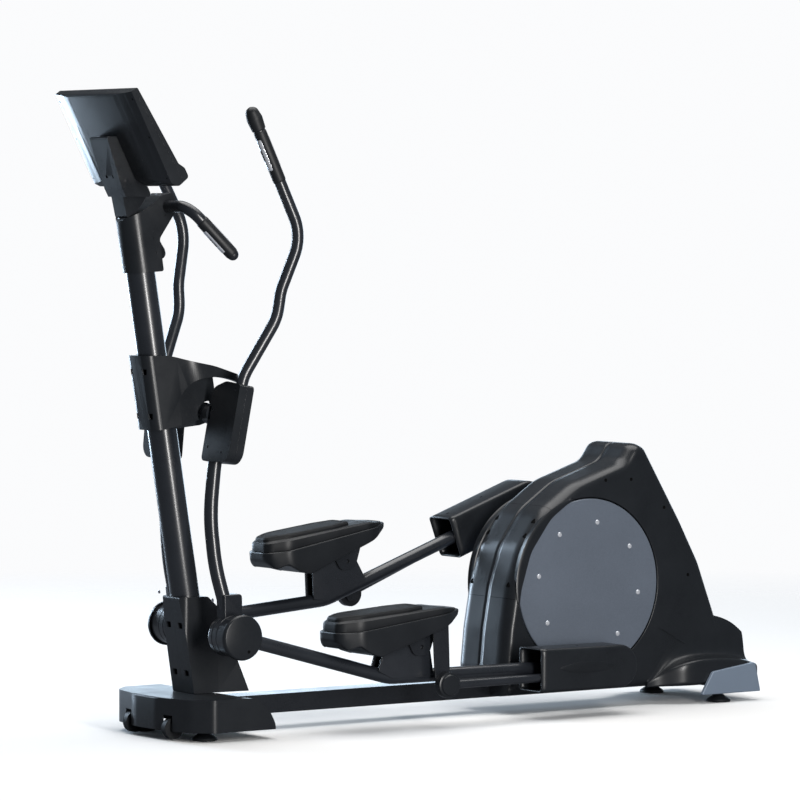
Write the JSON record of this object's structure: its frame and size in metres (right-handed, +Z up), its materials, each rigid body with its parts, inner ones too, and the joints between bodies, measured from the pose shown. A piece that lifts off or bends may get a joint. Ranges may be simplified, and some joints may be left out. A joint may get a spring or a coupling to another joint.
{
  "type": "elliptical trainer",
  "caption": "Rear-drive elliptical cross-trainer with swinging handles, hinged pedals, crank housing, mast console and levelling feet.",
  "frame": {"origin": "centre of the floor footprint's box, on the floor", "axes": "+X towards the crank housing at the rear, +Z up, so the user stands facing -X and -Y is the user's left"},
  "size_m": [2.1453, 0.6, 1.7494],
  "materials": {
    "cap_silver": "metallic silver-grey",
    "cast": "machined rim",
    "chrome": "polished",
    "cover_plastic": "fine texture",
    "disc_silver": "metallic silver-grey",
    "frame_paint": "satin powder coat",
    "pedal_plastic": "fine texture",
    "rubber_black": "moulded",
    "screen": "smoked lens",
    "steel": "ground",
    "tube_paint": "satin-gloss powder coat"
  },
  "bodies": {
    "frame": {"base_frame": "frame_paint", "mast_tube": "tube_paint", "pivot_axle": "steel", "mast_boot_left": "cover_plastic", "mast_boot_right": "cover_plastic", "base_cover": "cover_plastic", "wheel_forks": "frame_paint", "arm_shroud_left": "cover_plastic", "arm_shroud_right": "cover_plastic", "head_casing": "cover_plastic", "fixed_handlebar": "tube_paint", "pulse_plates": "chrome", "console_back": "cover_plastic", "console_front": "cover_plastic", "console_screen": "screen", "console_neck": "cover_plastic", "housing_left": "cover_plastic", "housing_right": "cover_plastic", "rear_end_caps": "cap_silver", "crank_bearings": "steel", "drive_belt": "rubber_black", "brake_magnet": "cast"},
    "crank": {"crank_shaft": "steel", "crank_pulley": "pedal_plastic", "crank_disc_left": "disc_silver", "crank_disc_right": "disc_silver", "disc_rivets": "chrome"},
    "flywheel": {"flywheel_wheel": "cast"},
    "idler": {"idler_pulley": "pedal_plastic"},
    "wheels": {"transport_wheels": "rubber_black"},
    "swing_left": {"swing_arm_left": "tube_paint", "handle_left": "tube_paint", "handle_cap_left": "rubber_black", "arm_casing_front_left": "cover_plastic", "arm_casing_rear_left": "cover_plastic"},
    "lever_left": {"pedal_lever_left": "tube_paint", "hub_cap_left": "cover_plastic", "crank_pin_left": "steel", "crank_cover_left": "cover_plastic"},
    "pedal_left": {"foot_frame_left": "frame_paint", "foot_shell_left": "pedal_plastic", "foot_pad_left": "rubber_black"},
    "rod_left": {"control_rod_left": "frame_paint"},
    "swing_right": {"swing_arm_right": "tube_paint", "handle_right": "tube_paint", "handle_cap_right": "rubber_black", "arm_casing_front_right": "cover_plastic", "arm_casing_rear_right": "cover_plastic"},
    "lever_right": {"pedal_lever_right": "tube_paint", "hub_cap_right": "cover_plastic", "crank_pin_right": "steel", "crank_cover_right": "cover_plastic"},
    "pedal_right": {"foot_frame_right": "frame_paint", "foot_shell_right": "pedal_plastic", "foot_pad_right": "rubber_black"},
    "rod_right": {"control_rod_right": "frame_paint"},
    "foot_front_left": {"foot_front_left": "rubber_black"},
    "foot_front_right": {"foot_front_right": "rubber_black"},
    "foot_rear_left": {"foot_rear_left": "rubber_black"},
    "foot_rear_right": {"foot_rear_right": "rubber_black"}
  },
  "joints": [
    {"name": "crank_spin", "type": "hinge", "parent": "frame", "child": "crank", "pos_m": [0.50415, 0, 0.358], "axis": [0, -1, 0], "continuous": true},
    {"name": "flywheel_spin", "type": "hinge", "parent": "frame", "child": "flywheel", "pos_m": [0.75115, 0, 0.262], "axis": [0, -1, 0], "continuous": true},
    {"name": "idler_spin", "type": "hinge", "parent": "frame", "child": "idler", "pos_m": [0.64619, 0, 0.19252], "axis": [0, -1, 0], "continuous": true},
    {"name": "left_swing", "type": "hinge", "parent": "frame", "child": "swing_left", "pos_m": [-0.73885, 0, 0.875], "axis": [0, -1, 0], "range_deg": [-20, 20]},
    {"name": "left_lever", "type": "hinge", "parent": "swing_left", "child": "lever_left", "pos_m": [-0.74732, 0, 0.27965], "axis": [0, -1, 0], "range_deg": [-20, 20]},
    {"name": "left_pedal", "type": "hinge", "parent": "lever_left", "child": "pedal_left", "pos_m": [-0.16385, 0, 0.22409], "axis": [0, -1, 0], "range_deg": [-4, 4]},
    {"name": "left_rod", "type": "hinge", "parent": "pedal_left", "child": "rod_left", "pos_m": [-0.10185, 0, 0.11909], "axis": [0, -1, 0], "range_deg": [-4, 4]},
    {"name": "right_swing", "type": "hinge", "parent": "frame", "child": "swing_right", "pos_m": [-0.73885, 0, 0.875], "axis": [0, -1, 0], "range_deg": [-20, 20]},
    {"name": "right_lever", "type": "hinge", "parent": "swing_right", "child": "lever_right", "pos_m": [-0.68672, 0, 0.28188], "axis": [0, -1, 0], "range_deg": [-20, 20]},
    {"name": "right_pedal", "type": "hinge", "parent": "lever_right", "child": "pedal_right", "pos_m": [-0.12013, 0, 0.43188], "axis": [0, -1, 0], "range_deg": [-4, 4]},
    {"name": "right_rod", "type": "hinge", "parent": "pedal_right", "child": "rod_right", "pos_m": [-0.05194, 0, 0.33079], "axis": [0, -1, 0], "range_deg": [-4, 4]},
    {"name": "wheel_spin", "type": "hinge", "parent": "frame", "child": "wheels", "pos_m": [-0.88185, 0, 0.033], "axis": [0, -1, 0], "continuous": true},
    {"name": "foot_front_left_height", "type": "slide", "parent": "frame", "child": "foot_front_left", "axis": [0, 0, 1], "range_m": [-0.012, 0]},
    {"name": "foot_front_right_height", "type": "slide", "parent": "frame", "child": "foot_front_right", "axis": [0, 0, 1], "range_m": [-0.012, 0]},
    {"name": "foot_rear_left_height", "type": "slide", "parent": "frame", "child": "foot_rear_left", "axis": [0, 0, 1], "range_m": [-0.012, 0]},
    {"name": "foot_rear_right_height", "type": "slide", "parent": "frame", "child": "foot_rear_right", "axis": [0, 0, 1], "range_m": [-0.012, 0]}
  ],
  "couplings": [
    {"joint": "flywheel_spin", "follows": "crank_spin", "ratio": 6},
    {"joint": "idler_spin", "follows": "crank_spin", "ratio": -7.2727},
    {"joint": "left_lever", "follows": "left_swing", "ratio": -1},
    {"joint": "left_pedal", "follows": "left_swing", "ratio": 0.2},
    {"joint": "left_rod", "follows": "left_swing", "ratio": -0.2},
    {"joint": "right_swing", "follows": "left_swing", "ratio": -1},
    {"joint": "right_lever", "follows": "left_swing", "ratio": 1},
    {"joint": "right_pedal", "follows": "left_swing", "ratio": -0.2},
    {"joint": "right_rod", "follows": "left_swing", "ratio": 0.2}
  ]
}
